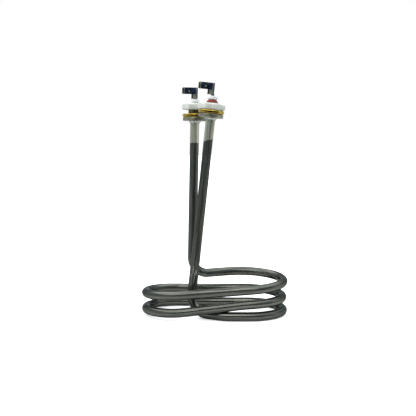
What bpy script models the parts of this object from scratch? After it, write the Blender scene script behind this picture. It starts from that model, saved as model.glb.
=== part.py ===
"""Screw-in heating element: one sheathed tube, bent into a flat oval coil with two upright legs.

Lengths are in metres and +Z is up. The coil's lowest turn lies on z = 0 and the long axis of
the oval runs along X. The rear leg (+Y) starts the coil's top turn, and the front leg (-Y)
rises out of its lowest turn. Each leg carries a flanged threaded bush, a washer, a clamping
nut, a seal, a ceramic bush, a terminal pin and a flag terminal.
"""

import math
from collections import namedtuple

import bmesh
import bpy
import numpy as np

MM = 0.001

# Room left between two pieces that touch on the real object
CLEARANCE = 0.3 * MM

# Sheathed tube
TUBE_DIAMETER = 8.5 * MM
FOOT_BEND_RADIUS = 16.6 * MM
MOUTH_DEPTH = 3.9 * MM
COLD_PIN_DEPTH = 24.0 * MM

# Coil, measured on the tube's centre line
COIL_HALF_LENGTH = 65.0 * MM
TURN_RADIUS = 32.9 * MM
RIGHT_BEND_SETBACKS = (0.0, 0.95 * MM, 0.35 * MM)

# Lift of each stretch of the coil above its lowest turn, in the order of the bending
REAR_FOOT_LIFT = 31.1 * MM
TOP_RUN_LIFT = 31.0 * MM
FIRST_FRONT_RIGHT_LIFT = 24.3 * MM
FIRST_FRONT_LEFT_LIFT = 19.2 * MM
FIRST_BACK_LIFT = 13.9 * MM
SECOND_FRONT_RIGHT_LIFT = 11.2 * MM
SECOND_FRONT_LEFT_LIFT = 3.2 * MM
SLOPE_BLEND = 11.0 * MM

# Legs: where their axes meet their runs, where the runs bend into line with the coil, how far
# the legs lean towards +X, and how high their flanges sit
LEG_SPACING = 28.0 * MM
REAR_FOOT_X = -22.0 * MM
REAR_SWEEP_X = 19.0 * MM
REAR_SWEEP_RADIUS = 40.0 * MM
REAR_LEAN = math.radians(1.2)
REAR_FLANGE_HEIGHT = 182.8 * MM
FRONT_FOOT_X = -23.2 * MM
FRONT_SWEEP_X = 8.7 * MM
FRONT_SWEEP_RADIUS = 29.4 * MM
FRONT_LEAN = math.radians(6.1)
FRONT_FLANGE_HEIGHT = 184.7 * MM

# Threaded bush, brazed round the tube's end
FLANGE_DIAMETER = 22.8 * MM
FLANGE_THICKNESS = 3.4 * MM
FLANGE_ROUNDING = 0.7 * MM
THREAD_DIAMETER = 13.16 * MM
THREAD_LENGTH = 10.2 * MM
THREAD_CHAMFER = 0.8 * MM
TUBE_END_RECESS = 0.5 * MM
BRAZE_HEIGHT = 2.2 * MM
BRAZE_TOP_WALL = 1.5 * MM
BRAZE_TOE_WALL = 0.25 * MM

# Washer
WASHER_DIAMETER = 23.7 * MM
WASHER_THICKNESS = 2.9 * MM
WASHER_ROUNDING = 1.0 * MM

# Clamping nut. The rear one is unscrewed by its stand-off from the washer.
NUT_ACROSS_FLATS = 21.5 * MM
NUT_HEIGHT = 6.0 * MM
NUT_EDGE_WIDTH = 0.8 * MM
NUT_EDGE_HEIGHT = 1.1 * MM
NUT_BORE_CHAMFER = 0.5 * MM
REAR_NUT_STAND_OFF = 3.5 * MM
FRONT_NUT_STAND_OFF = 0.0 * MM

# Seal, ceramic bush and terminal pin
SEAL_HEIGHT = 2.8 * MM
SEAL_BASE_DIAMETER = 10.7 * MM
SEAL_TOP_DIAMETER = 7.6 * MM
NECK_DIAMETER = 5.8 * MM
NECK_INSERTION = 3.2 * MM
CERAMIC_ROUNDING = 0.4 * MM
REAR_HEAD_DIAMETER = 7.5 * MM
REAR_HEAD_HEIGHT = 3.2 * MM
FRONT_HEAD_DIAMETER = 9.1 * MM
FRONT_HEAD_HEIGHT = 2.6 * MM
PIN_DIAMETER = 3.4 * MM
PIN_FLAT_WIDTH = 4.4 * MM
PIN_FLAT_THICKNESS = 2.0 * MM
PIN_SHORTFALL = 1.4 * MM

# Flag terminal, stamped from sheet and welded to the front of the flattened pin
SHEET = 0.8 * MM
TAB_HEIGHT = 6.3 * MM
TAB_LENGTH = 14.9 * MM
FOOT_WIDTH = 6.1 * MM
FOOT_HEIGHT = 4.4 * MM
FOOT_LIFT = 3.7 * MM
EDGE_BEVEL = 1.2 * MM
EDGE_THINNING = 0.25 * MM
DIMPLE_DIAMETER = 1.9 * MM
DIMPLE_DEPTH = 0.4 * MM
DIMPLE_FROM_TIP = 6.8 * MM
REAR_TERMINAL_SHIFT = -0.7 * MM
FRONT_TERMINAL_SHIFT = -2.3 * MM

# Mesh fineness
TUBE_SIDES = 16
ARC_STEP = math.radians(9.0)
RUN_STEP = 9.0 * MM
WIDE_SEGMENTS = 48
NARROW_SEGMENTS = 28

# What differs between the two legs
Leg = namedtuple("Leg", "name lean flange_height nut_stand_off head_diameter head_height terminal_shift")
REAR = Leg(
    name="rear",
    lean=REAR_LEAN,
    flange_height=REAR_FLANGE_HEIGHT,
    nut_stand_off=REAR_NUT_STAND_OFF,
    head_diameter=REAR_HEAD_DIAMETER,
    head_height=REAR_HEAD_HEIGHT,
    terminal_shift=REAR_TERMINAL_SHIFT,
)
FRONT = Leg(
    name="front",
    lean=FRONT_LEAN,
    flange_height=FRONT_FLANGE_HEIGHT,
    nut_stand_off=FRONT_NUT_STAND_OFF,
    head_diameter=FRONT_HEAD_DIAMETER,
    head_height=FRONT_HEAD_HEIGHT,
    terminal_shift=FRONT_TERMINAL_SHIFT,
)

# Heights along a leg's axis above its flange's underside, which follow from the sizes above
TUBE_RADIUS = TUBE_DIAMETER / 2
BUSH_TOP = FLANGE_THICKNESS + THREAD_LENGTH
TUBE_END = BUSH_TOP - TUBE_END_RECESS
NECK_BASE = TUBE_END - NECK_INSERTION
WASHER_BASE = FLANGE_THICKNESS + CLEARANCE
NUT_SEAT = WASHER_BASE + WASHER_THICKNESS + CLEARANCE
SEAL_BASE = BUSH_TOP + CLEARANCE
HEAD_BASE = SEAL_BASE + SEAL_HEIGHT + CLEARANCE
FOOT_BASE = HEAD_BASE + FOOT_LIFT


def clear_scene():
    """Removes every object of the startup scene."""
    for obj in list(bpy.data.objects):
        bpy.data.objects.remove(obj, do_unlink=True)


def material(name, colour, metallic, roughness):
    """A Principled material of one colour."""
    made = bpy.data.materials.new(name)
    made.use_nodes = True
    shader = made.node_tree.nodes["Principled BSDF"]
    shader.inputs["Base Color"].default_value = (*colour, 1.0)
    shader.inputs["Metallic"].default_value = metallic
    shader.inputs["Roughness"].default_value = roughness
    return made


def place(name, mesh, paint, parent=None, height=0.0):
    """Puts a mesh in the scene as one named piece, at a height along its leg's axis."""
    mesh.materials.append(paint)
    mesh.shade_smooth()
    mesh.set_sharp_from_angle(angle=math.radians(30))
    obj = bpy.data.objects.new(name, mesh)
    bpy.context.scene.collection.objects.link(obj)
    obj.parent = parent
    obj.location = (0.0, 0.0, height)
    return obj


def combine(target, mesh, operation):
    """Joins a second shape to a piece with an exact Boolean. The shape itself isn't rendered."""
    tool = place(f"{target.name}_{operation.lower()}", mesh, target.data.materials[0], target.parent)
    tool.location = target.location
    tool.hide_render = True
    tool.display_type = "WIRE"
    modifier = target.modifiers.new(tool.name, "BOOLEAN")
    modifier.solver = "EXACT"
    modifier.operation = operation
    modifier.object = tool


def finish(bm, name):
    """Turns a bmesh into a mesh whose faces point outwards."""
    bmesh.ops.recalc_face_normals(bm, faces=bm.faces)
    mesh = bpy.data.meshes.new(name)
    bm.to_mesh(mesh)
    bm.free()
    return mesh


def turned(name, profile, segments):
    """Spins a closed (radius, height) outline about Z."""
    bm = bmesh.new()
    rings = []
    for radius, height in profile:
        angles = [2 * math.pi * step / segments for step in range(segments if radius else 1)]
        rings.append([bm.verts.new((radius * math.cos(a), radius * math.sin(a), height)) for a in angles])
    for low, high in zip(rings, rings[1:] + rings[:1]):
        for step in range(segments):
            corners = [low[step % len(low)], low[(step + 1) % len(low)]]
            corners += [high[(step + 1) % len(high)], high[step % len(high)]]
            kept = list(dict.fromkeys(corners))
            if len(kept) > 2:
                bm.faces.new(kept)
    return finish(bm, name)


def lofted(name, rings):
    """Skins rings of points, one after another, and closes both ends."""
    bm = bmesh.new()
    made = [[bm.verts.new(point) for point in ring] for ring in rings]
    for low, high in zip(made, made[1:]):
        for step in range(len(low)):
            after = (step + 1) % len(low)
            bm.faces.new((low[step], low[after], high[after], high[step]))
    bm.faces.new(made[0])
    bm.faces.new(made[-1])
    return finish(bm, name)


def rounded(radius, height, rounding, inward, upward):
    """Quarter arc of a profile's outer corner, from its side round to its end, or back."""
    points = []
    for angle in (0.0, math.pi / 6, math.pi / 3, math.pi / 2):
        across = radius - rounding * (1 - math.cos(angle))
        along = height - upward * rounding * (1 - math.sin(angle))
        points.append((across, along))
    return points[::-1] if inward else points


def unit(vector):
    return vector / np.linalg.norm(vector)


def rounded_corner(before, corner, after, radius):
    """Points of the arc that rounds a corner of a route."""
    back = unit(before - corner)
    ahead = unit(after - corner)
    turn = math.pi - math.acos(float(np.clip(back @ ahead, -1.0, 1.0)))
    start = corner + back * radius * math.tan(turn / 2)
    centre = corner + unit(back + ahead) * radius / math.cos(turn / 2)
    angles = np.linspace(0.0, turn, max(2, math.ceil(turn / ARC_STEP)) + 1)[:, None]
    return centre + np.cos(angles) * (start - centre) - np.sin(angles) * radius * back


def half_turn(centre_x, side):
    """Half circle of the oval: side 1 is the right end, back to front, and -1 the left, front to back."""
    angles = np.linspace(0.0, math.pi, round(math.pi / ARC_STEP) + 1)
    x = centre_x + side * TURN_RADIUS * np.sin(angles)
    return np.stack([x, side * TURN_RADIUS * np.cos(angles)], axis=1)


def joined(stretches):
    """Chains stretches of a route, with points added along the straights between them.

    It also returns the index at which each stretch starts and ends.
    """
    route, spans = [], []
    for stretch in stretches:
        if route:
            last = route[-1]
            gap = stretch[0] - last
            count = max(1, math.ceil(np.linalg.norm(gap) / RUN_STEP))
            route.extend(last + gap * step / count for step in range(1, count))
        spans.append((len(route), len(route) + len(stretch) - 1))
        route.extend(stretch)
    return np.array(route), spans


def coil_route():
    """Centre line of the coil, from the foot of the rear leg down to the foot of the front leg."""
    bend_x = COIL_HALF_LENGTH - TURN_RADIUS
    right_xs = [bend_x - setback for setback in RIGHT_BEND_SETBACKS]
    rear_foot = np.array([REAR_FOOT_X, LEG_SPACING / 2])
    front_foot = np.array([FRONT_FOOT_X, -LEG_SPACING / 2])
    first = half_turn(right_xs[0], 1)
    last = half_turn(right_xs[2], 1)
    rear_sweep = np.array([REAR_SWEEP_X, TURN_RADIUS])
    front_sweep = np.array([FRONT_SWEEP_X, -TURN_RADIUS])
    stretches = [
        rear_foot[None, :],
        rounded_corner(rear_foot, rear_sweep, first[0], REAR_SWEEP_RADIUS),
        first,
        half_turn(-bend_x, -1),
        half_turn(right_xs[1], 1),
        half_turn(-bend_x, -1),
        last,
        rounded_corner(last[-1], front_sweep, front_foot, FRONT_SWEEP_RADIUS),
        front_foot[None, :],
    ]
    plan, spans = joined(stretches)
    knots = [
        (spans[0][0], REAR_FOOT_LIFT),
        (spans[1][0], TOP_RUN_LIFT),
        (spans[2][0], TOP_RUN_LIFT),
        (spans[2][1], FIRST_FRONT_RIGHT_LIFT),
        (spans[3][0], FIRST_FRONT_LEFT_LIFT),
        (spans[3][1], FIRST_BACK_LIFT),
        (spans[4][0], FIRST_BACK_LIFT),
        (spans[4][1], SECOND_FRONT_RIGHT_LIFT),
        (spans[5][0], SECOND_FRONT_LEFT_LIFT),
        (spans[5][1], 0.0),
        (spans[8][1], 0.0),
    ]
    lengths = np.concatenate([[0.0], np.cumsum(np.linalg.norm(np.diff(plan, axis=0), axis=1))])
    at = [lengths[index] for index, _ in knots]
    lifts = [lift for _, lift in knots]
    offsets = np.linspace(-SLOPE_BLEND, SLOPE_BLEND, 9)
    blended = np.mean([np.interp(lengths + offset, at, lifts) for offset in offsets], axis=0)
    return np.column_stack([plan, blended + TUBE_RADIUS])


def leg_axis(leg, foot):
    """Centre of a leg's flange underside, and the leg's direction."""
    along = np.array([math.sin(leg.lean), 0.0, math.cos(leg.lean)])
    return foot + along * (leg.flange_height - foot[2]) / along[2], along


def trimmed(route, reach):
    """A route without the points at its start that lie within a reach of its first one."""
    near = np.linalg.norm(route - route[0], axis=1) < reach
    return route[int(np.argmin(near)) :]


def tube_route(coil):
    """Centre line of the tube from the rear leg's end to the front leg's end."""
    rear_foot, front_foot = coil[0], coil[-1]
    ends = []
    for leg, foot in ((REAR, rear_foot), (FRONT, front_foot)):
        flange, along = leg_axis(leg, foot)
        ends.append(flange + along * TUBE_END)
    rear_bend = rounded_corner(ends[0], rear_foot, coil[2], FOOT_BEND_RADIUS)
    front_bend = rounded_corner(coil[-3], front_foot, ends[1], FOOT_BEND_RADIUS)
    reach = max(np.linalg.norm(rear_bend[-1] - rear_foot), np.linalg.norm(front_bend[0] - front_foot))
    reach += RUN_STEP / 3
    run = trimmed(trimmed(coil, reach)[::-1], reach)[::-1]
    return joined([ends[0][None, :], rear_bend, run, front_bend, ends[1][None, :]])[0]


def carried(tangents, start):
    """Side vectors carried along a route without twist, seeded straight down at one station."""
    sides = [None] * len(tangents)
    sides[start] = np.array([0.0, 0.0, -1.0])
    for step, stop in ((1, len(tangents)), (-1, -1)):
        for index in range(start + step, stop, step):
            side = sides[index - step]
            sides[index] = unit(side - tangents[index] * (side @ tangents[index]))
    return sides


def tube_mesh():
    """The sheathed tube, with a stepped mouth at each end for the ceramic neck and the pin."""
    coil = coil_route()
    route = tube_route(coil)
    steps = np.diff(route, axis=0)
    steps /= np.linalg.norm(steps, axis=1)[:, None]
    tangents = [steps[0]] + [unit(one + two) for one, two in zip(steps, steps[1:])] + [steps[-1]]
    level = len(route) - 1 - int(np.argmin(np.linalg.norm(route[::-1] - coil[-16], axis=1)))
    sides = carried(tangents, level)

    def ring(centre, tangent, side, radius):
        up = np.cross(tangent, side)
        angles = [2 * math.pi * step / TUBE_SIDES for step in range(TUBE_SIDES)]
        return [centre + radius * (math.cos(a) * side + math.sin(a) * up) for a in angles]

    apothem = math.cos(math.pi / TUBE_SIDES)
    mouth = (NECK_DIAMETER / 2 + CLEARANCE) / apothem
    hole = (PIN_DIAMETER / 2 + CLEARANCE) / apothem
    bore = [(mouth, 0.0), (mouth, MOUTH_DEPTH), (hole, MOUTH_DEPTH), (hole, MOUTH_DEPTH + COLD_PIN_DEPTH)]

    def bore_rings(end, inward):
        return [ring(route[end] + inward * depth, tangents[end], sides[end], radius) for radius, depth in bore]

    rings = bore_rings(0, tangents[0])[::-1]
    rings += [ring(*station, TUBE_RADIUS) for station in zip(route, tangents, sides)]
    rings += bore_rings(-1, -tangents[-1])
    return lofted("heating_tube", rings), coil


def bush_mesh():
    """Flanged bush with a plain cylinder in place of its thread."""
    bore = TUBE_RADIUS + CLEARANCE
    rim = FLANGE_DIAMETER / 2
    crest = THREAD_DIAMETER / 2
    profile = [(bore, 0.0)]
    profile += rounded(rim, 0.0, FLANGE_ROUNDING, True, -1)
    profile += rounded(rim, FLANGE_THICKNESS, FLANGE_ROUNDING, False, 1)
    profile += [
        (crest, FLANGE_THICKNESS),
        (crest, BUSH_TOP - THREAD_CHAMFER),
        (crest - THREAD_CHAMFER, BUSH_TOP),
        (bore, BUSH_TOP),
    ]
    return turned("threaded_bush", profile, WIDE_SEGMENTS)


def braze_mesh():
    """Concave ring of braze under the flange."""
    bore = TUBE_RADIUS + CLEARANCE
    profile = [(bore, 0.0), (bore, BRAZE_HEIGHT), (bore + BRAZE_TOP_WALL, BRAZE_HEIGHT)]
    for part in (0.3, 0.65):
        wall = BRAZE_TOE_WALL + (BRAZE_TOP_WALL - BRAZE_TOE_WALL) * (1 - part) ** 2
        profile.append((bore + wall, BRAZE_HEIGHT * (1 - part)))
    profile.append((bore + BRAZE_TOE_WALL, 0.0))
    return turned("braze_ring", profile, NARROW_SEGMENTS)


def washer_mesh():
    bore = THREAD_DIAMETER / 2 + CLEARANCE
    rim = WASHER_DIAMETER / 2
    profile = [(bore, 0.0)]
    profile += rounded(rim, 0.0, WASHER_ROUNDING, True, -1)
    profile += rounded(rim, WASHER_THICKNESS, WASHER_ROUNDING, False, 1)
    profile.append((bore, WASHER_THICKNESS))
    return turned("washer", profile, WIDE_SEGMENTS)


def hexagon_mesh():
    """The nut without its bore: a hexagon with one flat to the front and bevelled ends."""
    rings = []
    for inset, height in (
        (NUT_EDGE_WIDTH, 0.0),
        (0.0, NUT_EDGE_HEIGHT),
        (0.0, NUT_HEIGHT - NUT_EDGE_HEIGHT),
        (NUT_EDGE_WIDTH, NUT_HEIGHT),
    ):
        corner = (NUT_ACROSS_FLATS - 2 * inset) / math.sqrt(3)
        angles = [math.radians(60 * step) for step in range(6)]
        rings.append([(corner * math.cos(a), corner * math.sin(a), height) for a in angles])
    return lofted("hexagon", rings)


def nut_bore_mesh():
    """Drill for the nut's bore, with a chamfer at both ends."""
    bore = THREAD_DIAMETER / 2 + CLEARANCE
    over = CLEARANCE
    profile = [
        (0.0, -over),
        (bore + NUT_BORE_CHAMFER + over, -over),
        (bore, NUT_BORE_CHAMFER),
        (bore, NUT_HEIGHT - NUT_BORE_CHAMFER),
        (bore + NUT_BORE_CHAMFER + over, NUT_HEIGHT + over),
        (0.0, NUT_HEIGHT + over),
    ]
    return turned("nut_bore", profile, WIDE_SEGMENTS)


def seal_mesh():
    bore = NECK_DIAMETER / 2 + CLEARANCE
    profile = [
        (bore, 0.0),
        (SEAL_BASE_DIAMETER / 2, 0.0),
        (SEAL_TOP_DIAMETER / 2, SEAL_HEIGHT),
        (bore, SEAL_HEIGHT),
    ]
    return turned("end_seal", profile, NARROW_SEGMENTS)


def ceramic_mesh(leg):
    """Ceramic bush: a head above the seal and a neck that reaches into the tube's mouth."""
    bore = PIN_DIAMETER / 2 + CLEARANCE
    neck = NECK_DIAMETER / 2
    head = leg.head_diameter / 2
    base = HEAD_BASE - NECK_BASE
    profile = [(bore, 0.0), (neck, 0.0), (neck, base)]
    profile += rounded(head, base, CERAMIC_ROUNDING, True, -1)
    profile += rounded(head, base + leg.head_height, CERAMIC_ROUNDING, False, 1)
    profile.append((bore, base + leg.head_height))
    return turned("ceramic_bush", profile, NARROW_SEGMENTS)


def pin_mesh(leg):
    """Round pin whose top is flattened, and set over towards the middle of the terminal."""
    base = TUBE_END - MOUTH_DEPTH - COLD_PIN_DEPTH + CLEARANCE
    top = FOOT_BASE + FOOT_HEIGHT + TAB_HEIGHT - PIN_SHORTFALL
    radius = PIN_DIAMETER / 2
    bend = HEAD_BASE + leg.head_height
    flat = (PIN_FLAT_WIDTH / 2, PIN_FLAT_THICKNESS / 2, leg.terminal_shift)
    sections = [(base, radius, radius, 0.0), (bend, radius, radius, 0.0)]
    sections += [(bend + FOOT_HEIGHT, *flat), (top, *flat)]
    rings = []
    for height, half_width, half_depth, shift in sections:
        angles = [2 * math.pi * (step + 0.5) / TUBE_SIDES for step in range(TUBE_SIDES)]
        rings.append([(shift + half_width * math.cos(a), half_depth * math.sin(a), height) for a in angles])
    return lofted("terminal_pin", rings)


def terminal_mesh(leg):
    """L-shaped tab whose free end and outer edges are bevelled. Its columns run from tip to heel."""
    heel = leg.terminal_shift + FOOT_WIDTH / 2
    foot = heel - FOOT_WIDTH
    tip = heel - TAB_LENGTH
    low = FOOT_BASE
    step = low + FOOT_HEIGHT
    back = -(PIN_DIAMETER / 2 + CLEARANCE)
    front = back - SHEET
    columns = (tip, tip + EDGE_BEVEL, foot, foot + EDGE_BEVEL, heel - EDGE_BEVEL, heel)
    rows = (low, step - EDGE_BEVEL, step, step + TAB_HEIGHT)
    bm = bmesh.new()
    points = {}
    for row, height in enumerate(rows):
        for column, x in enumerate(columns):
            thinned = column == 5 or (column == 0 and row > 1) or (column == 2 and row < 2)
            inset = EDGE_THINNING if thinned else 0.0
            points[row, column] = (
                bm.verts.new((x, front + inset, height)),
                bm.verts.new((x, back - (inset if column == 0 else 0.0), height)),
            )
    cells = {(row, column) for row in range(3) for column in range(5) if row == 2 or column > 1}
    for row, column in sorted(cells):
        corners = [points[row, column], points[row, column + 1], points[row + 1, column + 1], points[row + 1, column]]
        bm.faces.new([corner[0] for corner in corners])
        bm.faces.new([corner[1] for corner in corners])
        beside = ((row - 1, column), (row, column + 1), (row + 1, column), (row, column - 1))
        for side, neighbour in enumerate(beside):
            if neighbour not in cells:
                one, two = corners[side], corners[(side + 1) % 4]
                bm.faces.new((one[0], two[0], two[1], one[1]))
    bmesh.ops.delete(bm, geom=[vert for vert in bm.verts if not vert.link_faces], context="VERTS")
    return finish(bm, "flag_terminal")


def dimple_mesh(leg):
    """Cutter for the latching dimple in the tab's front face."""
    x = leg.terminal_shift + FOOT_WIDTH / 2 - TAB_LENGTH + DIMPLE_FROM_TIP
    z = FOOT_BASE + FOOT_HEIGHT + TAB_HEIGHT / 2
    face = -(PIN_DIAMETER / 2 + CLEARANCE + SHEET)
    radius = DIMPLE_DIAMETER / 2
    angles = [2 * math.pi * step / TUBE_SIDES for step in range(TUBE_SIDES)]
    rings = [
        [(x + reach * math.cos(a), y, z + reach * math.sin(a)) for a in angles]
        for y, reach in ((face + DIMPLE_DEPTH, radius - DIMPLE_DEPTH), (face, radius), (face - DIMPLE_DEPTH, radius))
    ]
    return lofted("dimple", rings)


def dress_leg(leg, foot, paints):
    """Puts a leg's fittings on its axis. The frame they share stands on the flange's underside."""
    flange, _ = leg_axis(leg, foot)
    frame = bpy.data.objects.new(f"{leg.name}_leg_axis", None)
    bpy.context.scene.collection.objects.link(frame)
    frame.location = flange
    frame.rotation_euler = (0.0, leg.lean, 0.0)

    def fit(piece, mesh, paint, height=0.0):
        return place(f"{leg.name}_{piece}", mesh, paints[paint], frame, height)

    fit("threaded_bush", bush_mesh(), "bush_steel")
    fit("braze_ring", braze_mesh(), "braze_metal", -CLEARANCE - BRAZE_HEIGHT)
    fit("brass_washer", washer_mesh(), "washer_brass", WASHER_BASE)
    nut = fit("nylon_nut", hexagon_mesh(), "nut_nylon", NUT_SEAT + leg.nut_stand_off)
    combine(nut, nut_bore_mesh(), "DIFFERENCE")
    fit("end_seal", seal_mesh(), "seal_silicone", SEAL_BASE)
    fit("ceramic_bush", ceramic_mesh(leg), "bush_ceramic", NECK_BASE)
    fit("terminal_pin", pin_mesh(leg), "pin_steel")
    terminal = fit("flag_terminal", terminal_mesh(leg), "terminal_steel")
    combine(terminal, dimple_mesh(leg), "DIFFERENCE")


def main():
    clear_scene()
    paints = {
        "sheath_steel": material("sheath_steel", (0.10, 0.105, 0.09), 0.9, 0.38),
        "bush_steel": material("bush_steel", (0.25, 0.25, 0.20), 0.9, 0.35),
        "braze_metal": material("braze_metal", (0.55, 0.55, 0.50), 0.9, 0.40),
        "washer_brass": material("washer_brass", (0.55, 0.36, 0.08), 1.0, 0.25),
        "nut_nylon": material("nut_nylon", (0.75, 0.76, 0.72), 0.0, 0.45),
        "seal_silicone": material("seal_silicone", (0.42, 0.04, 0.025), 0.0, 0.50),
        "bush_ceramic": material("bush_ceramic", (0.85, 0.86, 0.83), 0.0, 0.35),
        "pin_steel": material("pin_steel", (0.40, 0.40, 0.38), 0.9, 0.35),
        "terminal_steel": material("terminal_steel", (0.16, 0.17, 0.20), 0.9, 0.30),
    }
    tube, coil = tube_mesh()
    place("heating_tube", tube, paints["sheath_steel"])
    dress_leg(REAR, coil[0], paints)
    dress_leg(FRONT, coil[-1], paints)


main()
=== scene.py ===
"""Looks of the screw-in heating element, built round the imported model.

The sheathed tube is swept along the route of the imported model's tube, and each leg's fittings
are turned, cut and folded on that leg's own axis. Lengths are in metres, and +Z is up.
"""

import logging
import math
from dataclasses import dataclass
from enum import Enum
from typing import Callable, Mapping, Sequence

import bpy
import numpy as np
from mathutils import Matrix, Vector

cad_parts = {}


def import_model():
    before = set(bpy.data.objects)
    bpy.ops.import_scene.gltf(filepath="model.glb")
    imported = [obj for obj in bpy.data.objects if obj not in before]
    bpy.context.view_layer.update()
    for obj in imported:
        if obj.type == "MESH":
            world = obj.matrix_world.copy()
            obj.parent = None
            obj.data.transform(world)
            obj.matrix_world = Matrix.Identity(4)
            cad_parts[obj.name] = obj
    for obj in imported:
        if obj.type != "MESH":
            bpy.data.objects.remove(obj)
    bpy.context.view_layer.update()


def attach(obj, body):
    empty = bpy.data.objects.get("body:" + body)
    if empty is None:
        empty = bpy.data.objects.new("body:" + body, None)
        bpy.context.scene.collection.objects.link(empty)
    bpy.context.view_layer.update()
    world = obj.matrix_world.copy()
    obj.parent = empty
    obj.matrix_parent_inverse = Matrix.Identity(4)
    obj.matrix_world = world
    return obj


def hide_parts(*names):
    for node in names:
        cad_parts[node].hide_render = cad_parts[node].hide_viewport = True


LOG = logging.getLogger("heating_element")

MM = 0.001

# Room between two pieces that touch on the real object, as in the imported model
CLEARANCE = 0.3 * MM

# Points nearer to each other than this are one point
WELD = 0.002 * MM

SMOOTH_ANGLE = math.radians(30)

Pair = tuple[float, float]
Triple = tuple[float, float, float]
Colour = Triple
Object = bpy.types.Object
Material = bpy.types.Material
NodeTree = bpy.types.NodeTree
Socket = bpy.types.NodeSocket
Sockets = Mapping[str, Socket]
Surface = tuple[Socket, Socket, Socket]


def deselect_all() -> None:
    """Leaves edit mode, with nothing selected."""
    if bpy.context.mode != "OBJECT":
        bpy.ops.object.mode_set(mode="OBJECT")
    bpy.ops.object.select_all(action="DESELECT")


def activate(obj: Object) -> None:
    """Leaves edit mode, selects one object alone and makes it the active one."""
    deselect_all()
    obj.select_set(True)
    bpy.context.view_layer.objects.active = obj


def edit_all(obj: Object) -> None:
    """Enters edit mode on an object with all of its mesh selected."""
    activate(obj)
    bpy.ops.object.mode_set(mode="EDIT")
    bpy.ops.mesh.select_all(action="SELECT")


def pick_faces(obj: Object, test: Callable[[bpy.types.MeshPolygon], bool]) -> None:
    """Enters edit mode on an object with only those faces selected that pass a test."""
    edit_all(obj)
    bpy.ops.mesh.select_mode(type="FACE")
    bpy.ops.mesh.select_all(action="DESELECT")
    bpy.ops.object.mode_set(mode="OBJECT")
    for face in obj.data.polygons:
        face.select = test(face)
    bpy.ops.object.mode_set(mode="EDIT")


def extrude(x: float, y: float, z: float) -> None:
    """Extrudes the selected faces by a vector."""
    bpy.ops.mesh.extrude_region_move(TRANSFORM_OT_translate={"value": (x, y, z)})


def scale_about(centre: Sequence[float], factors: Sequence[float]) -> None:
    """Scales what is selected about a point."""
    bpy.ops.transform.resize(value=factors, center_override=centre)


def close_mesh() -> None:
    """Turns every face of the edited mesh outwards, and leaves edit mode."""
    bpy.ops.mesh.select_all(action="SELECT")
    bpy.ops.mesh.normals_make_consistent(inside=False)
    bpy.ops.object.mode_set(mode="OBJECT")


def apply_modifier(obj: Object, kind: str, **settings: object) -> None:
    """Adds a modifier with its own settings to an object and applies it."""
    activate(obj)
    modifier = obj.modifiers.new(kind.lower(), kind)
    for name, value in settings.items():
        setattr(modifier, name, value)
    bpy.ops.object.modifier_apply(modifier=modifier.name)


def bevel(obj: Object, width: float, degrees: float) -> None:
    """Rounds the edges of an object where its faces turn by more than an angle."""
    limit = {"limit_method": "ANGLE", "angle_limit": math.radians(degrees)}
    apply_modifier(obj, "BEVEL", width=width, segments=3, **limit)


def cut_away(obj: Object, tool: Object) -> None:
    """Cuts a second shape out of an object with an exact Boolean, and removes that shape."""
    apply_modifier(obj, "BOOLEAN", object=tool, operation="DIFFERENCE", solver="EXACT")
    bpy.data.objects.remove(tool, do_unlink=True)


def turn(section: Sequence[Pair], steps: int = 96) -> Object:
    """Turns a closed section about Z.

    Args:
        section: (radius, height) corners of the section, in order.
        steps: Facets round the piece.

    Returns:
        The turned piece, with its faces outwards.
    """
    deselect_all()
    bpy.ops.mesh.primitive_circle_add(vertices=len(section), radius=MM)
    obj = bpy.context.object
    for vert, (radius, height) in zip(obj.data.vertices, section):
        vert.co = (radius, 0.0, height)
    edit_all(obj)
    bpy.ops.mesh.spin(steps=steps, angle=2 * math.pi, center=(0, 0, 0), axis=(0, 0, 1))
    bpy.ops.mesh.select_all(action="SELECT")
    bpy.ops.mesh.remove_doubles(threshold=WELD)
    close_mesh()
    return obj


def corner(
    radius: float, height: float, size: float, across: int, along: int, steps: int = 5
) -> list[Pair]:
    """Rounds one corner of a section.

    Args:
        radius: The sharp corner's radius.
        height: The sharp corner's height.
        size: The rounding's radius.
        across: 1 where the corner points outwards, -1 inwards.
        along: 1 where the corner points up, -1 down.
        steps: Facets of the rounding.

    Returns:
        Points that run anticlockwise on the section, seen with the axis at the left.
    """
    centre = (radius - across * size, height - along * size)
    angles = np.linspace(0.0, math.pi / 2, steps + 1)
    points = [
        (centre[0] + across * size * math.cos(a), centre[1] + along * size * math.sin(a))
        for a in angles
    ]
    return points if across == along else points[::-1]


def move_to_radius(vert: bpy.types.MeshVertex, radius: float) -> None:
    """Moves a vertex straight away from Z, or towards it, to a given radius."""
    scale = radius / math.hypot(vert.co.x, vert.co.y)
    vert.co.x *= scale
    vert.co.y *= scale


def store(obj: Object, name: str, values: np.ndarray, domain: str = "POINT") -> None:
    """Stores a number or a vector for each point or face, for the piece's finish to read."""
    kind, key = ("FLOAT", "value") if values.ndim == 1 else ("FLOAT_VECTOR", "vector")
    obj.data.attributes.new(name, kind, domain).data.foreach_set(key, values.ravel())


def settle(obj: Object, place: Matrix) -> None:
    """Puts a piece, modelled at the origin, in its place through its mesh, and shades it."""
    obj.data.transform(place)
    obj.data.update()
    activate(obj)
    bpy.ops.object.shade_smooth_by_angle(angle=SMOOTH_ANGLE)


def hand_over(obj: Object, node: str, body: str, paint: Material) -> None:
    """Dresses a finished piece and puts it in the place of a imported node.

    Args:
        obj: The piece.
        node: The node that it stands for.
        body: The body that it moves with.
        paint: The piece's material.
    """
    obj.data.materials.clear()
    obj.data.materials.append(paint)
    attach(obj, body)
    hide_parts(node)
    LOG.info("%s: %d faces on %s", obj.name, len(obj.data.polygons), body)


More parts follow.
